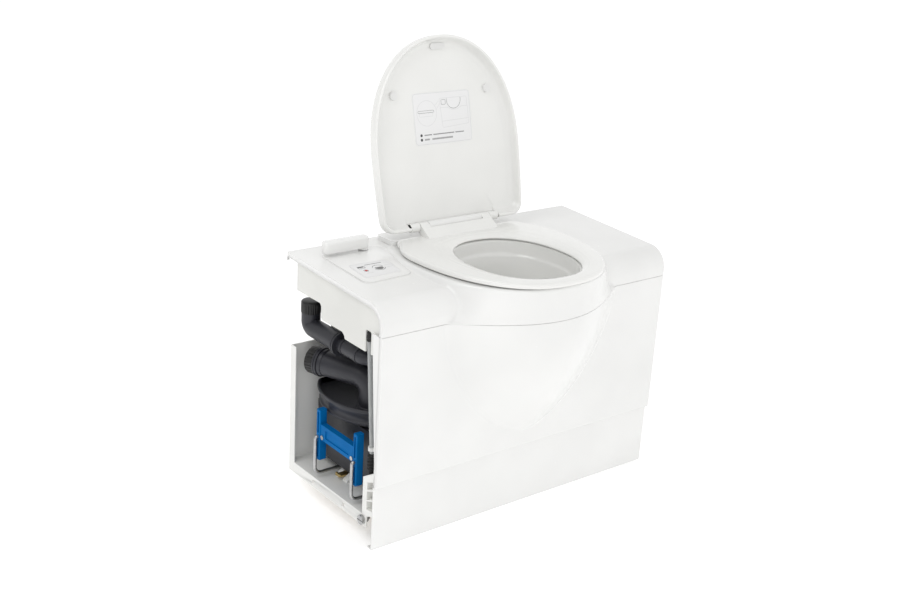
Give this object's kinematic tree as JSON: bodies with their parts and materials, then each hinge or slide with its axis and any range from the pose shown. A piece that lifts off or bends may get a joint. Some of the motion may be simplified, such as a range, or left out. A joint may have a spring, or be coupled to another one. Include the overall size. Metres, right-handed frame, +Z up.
{
  "type": "cassette toilet",
  "caption": "Bench cassette toilet with seat, lid, blade handle, flush controls and a slide-out waste tank with pouring spout and pull handle.",
  "frame": {"origin": "floor level, middle of the bench width, on the centre line of the kickboard's foot, which is 15 mm behind the front panel's outer face", "axes": "+Z up, +Y towards the back wall, +X towards the user's left when seated, away from the open cassette bay"},
  "size_m": [0.68, 0.4446, 0.8499],
  "materials": {
    "gloss_white": "gloss",
    "satin_white": "satin",
    "label_white": "matt",
    "soft_white": "soft",
    "charcoal": "satin",
    "black_plastic": "satin",
    "black_rubber": "matt",
    "grey_plastic": "satin",
    "blue_plastic": "gloss",
    "steel": "brushed",
    "brass": "satin",
    "timber": "planed",
    "clear_plastic": "clear",
    "red_lamp": "gloss"
  },
  "bodies": {
    "bench": {"top_moulding": "gloss_white", "front_panel": "gloss_white", "kickboard": "gloss_white", "end_panel": "satin_white", "rear_frame": "timber", "bay_tray": "satin_white", "tray_bearers": "timber", "front_post": "satin_white", "tray_bolt": "steel", "bowl": "gloss_white", "bowl_seal": "black_rubber", "valve_housing": "satin_white", "hinge_block": "gloss_white", "hinge_pin": "steel", "control_plate": "gloss_white", "panel_label": "label_white", "level_lamp": "red_lamp", "control_box": "satin_white", "fill_elbow": "charcoal", "fill_pipe": "charcoal", "flush_tank": "charcoal", "flush_pump": "charcoal", "flush_hose": "black_rubber", "flush_nozzle": "satin_white", "level_tube": "clear_plastic", "tube_top_plug": "black_plastic", "drain_bellows": "black_rubber", "tube_clip": "soft_white", "latch_block": "satin_white", "latch_pin": "steel"},
    "lid": {"lid_shell": "gloss_white", "lid_oval_bumper": "soft_white", "lid_label": "label_white", "lid_bumper_left": "soft_white", "lid_bumper_right": "soft_white"},
    "seat": {"seat_ring": "gloss_white", "seat_buffers": "soft_white"},
    "blade": {"slide_blade": "black_plastic"},
    "blade_handle": {"blade_lever": "gloss_white", "lever_spindle": "steel"},
    "flush_key": {"flush_button": "grey_plastic"},
    "filler_cap": {"fill_cap": "black_plastic"},
    "cassette": {"waste_tank": "charcoal", "inlet_seal": "black_rubber", "tank_shoulder": "charcoal", "shoulder_disc": "black_plastic", "runner_pads": "black_plastic", "rod_guides": "charcoal", "wheel_axle": "steel", "axle_brackets": "charcoal"},
    "spout": {"pour_spout": "charcoal", "spout_ring": "grey_plastic"},
    "spout_closure": {"spout_cap": "black_plastic"},
    "pull_handle": {"handle_frame": "blue_plastic", "handle_rivets": "steel", "pull_rod_rear": "steel", "pull_rod_front": "steel"},
    "front_wheel": {"wheel_front": "black_rubber"},
    "rear_wheel": {"wheel_rear": "black_rubber"},
    "latch": {"latch_lever": "brass"}
  },
  "joints": [
    {"name": "lid_hinge", "type": "hinge", "parent": "bench", "child": "lid", "pos_m": [0, 0.235, 0.5], "axis": [1, 0, 0], "range_deg": [0, 103]},
    {"name": "seat_hinge", "type": "hinge", "parent": "bench", "child": "seat", "pos_m": [0, 0.235, 0.5], "axis": [1, 0, 0], "range_deg": [-95, 0]},
    {"name": "blade_handle_turn", "type": "hinge", "parent": "bench", "child": "blade_handle", "pos_m": [-0.212, 0.235, 0.485], "axis": [0, 0, 1], "range_deg": [0, 90]},
    {"name": "blade_slide", "type": "slide", "parent": "bench", "child": "blade", "axis": [1, 0, 0], "range_m": [0, 0.15]},
    {"name": "flush_button_press", "type": "slide", "parent": "bench", "child": "flush_key", "axis": [0, 0, -1], "range_m": [0, 0.0012], "stiffness_N_per_m": 400, "springref_m": -0.0005},
    {"name": "filler_cap_turn", "type": "hinge", "parent": "bench", "child": "filler_cap", "pos_m": [-0.3, 0.27, 0.368], "axis": [0, 0, 1], "range_deg": [0, 180]},
    {"name": "cassette_slide", "type": "slide", "parent": "bench", "child": "cassette", "axis": [-1, 0, 0], "range_m": [0, 0.43]},
    {"name": "spout_swivel", "type": "hinge", "parent": "cassette", "child": "spout", "pos_m": [-0.255, 0.129, 0.205], "axis": [0, 0, 1], "range_deg": [0, 70]},
    {"name": "spout_cap_turn", "type": "hinge", "parent": "spout", "child": "spout_closure", "pos_m": [-0.29946, 0.25116, 0.266], "axis": [-0.342, 0.9397, 0], "range_deg": [0, 180]},
    {"name": "pull_handle_slide", "type": "slide", "parent": "cassette", "child": "pull_handle", "axis": [-1, 0, 0], "range_m": [0, 0.2]},
    {"name": "front_wheel_roll", "type": "hinge", "parent": "cassette", "child": "front_wheel", "pos_m": [0.139, 0.08, 0.07], "axis": [0, 1, 0], "continuous": true},
    {"name": "rear_wheel_roll", "type": "hinge", "parent": "cassette", "child": "rear_wheel", "pos_m": [0.139, 0.252, 0.07], "axis": [0, 1, 0], "continuous": true},
    {"name": "latch_press", "type": "hinge", "parent": "bench", "child": "latch", "pos_m": [-0.267, 0.167, 0.0605], "axis": [0, -1, 0], "range_deg": [0, 8], "stiffness_Nm_per_rad": 0.4, "springref_deg": -5.73}
  ],
  "couplings": [
    {"joint": "blade_slide", "follows": "blade_handle_turn", "m_per_rad": 0.095492}
  ]
}
